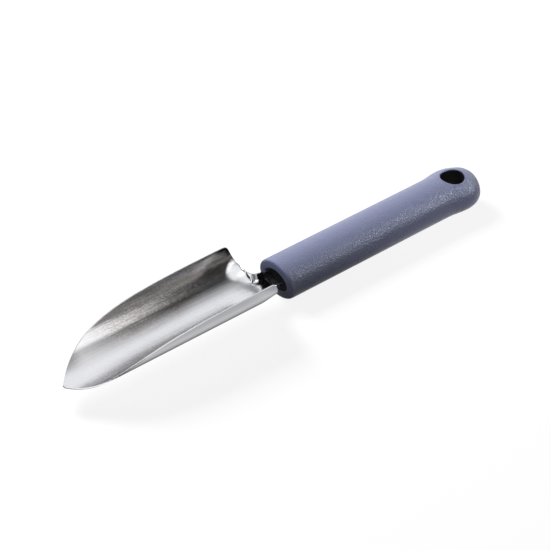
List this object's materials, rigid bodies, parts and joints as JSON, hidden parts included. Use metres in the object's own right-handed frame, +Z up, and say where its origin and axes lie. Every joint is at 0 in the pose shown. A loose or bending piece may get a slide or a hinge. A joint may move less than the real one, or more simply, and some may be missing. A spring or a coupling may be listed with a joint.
{
  "type": "hand trowel",
  "caption": "Hand trowel or scoop: a pointed half-pipe steel blade on a channel neck, held in an oval moulded handle with a round butt and a hang hole.",
  "frame": {"origin": "under the middle of the whole part, on the surface that the handle rests on", "axes": "+X from the blade's tip to the butt, +Y across the blade, +Z up out of the open side of the trough"},
  "size_m": [0.2326, 0.035, 0.0242],
  "materials": {
    "steel": "satin-polished stainless sheet with fine lines along the blade",
    "core_plastic": "hard black moulding",
    "grip_plastic": "blue-grey moulding with a fine matte grain"
  },
  "bodies": {
    "root": {"blade": "steel", "handle_core": "core_plastic", "grip": "grip_plastic"}
  },
  "joints": []
}
